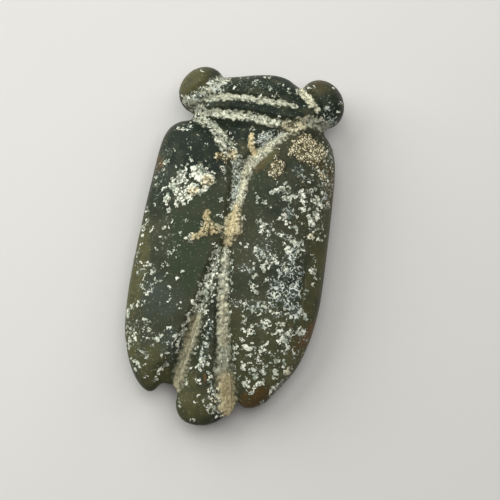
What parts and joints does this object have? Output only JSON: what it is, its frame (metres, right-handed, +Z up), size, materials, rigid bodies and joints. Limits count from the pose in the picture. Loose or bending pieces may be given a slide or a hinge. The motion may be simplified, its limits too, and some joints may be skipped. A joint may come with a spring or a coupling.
{
  "type": "carved jade cicada amulet",
  "caption": "Ancient jade cicada amulet, carved in the round: folded wings, thorax set off by V-shaped cuts, banded head, bulging eyes and a projecting tail; it lies on its ground belly.",
  "frame": {"origin": "below the middle of the amulet's outline, on the plane of its ground belly", "axes": "+Z up out of the back, +Y along the body towards the head, +X to the right of the back as seen from above"},
  "size_m": [0.029, 0.0552, 0.0107],
  "materials": {
    "jade": "worn satin polish, with pale burial deposits in the cuts and in patches on the wings"
  },
  "bodies": {
    "root": {"cicada_amulet": "jade"}
  },
  "joints": []
}
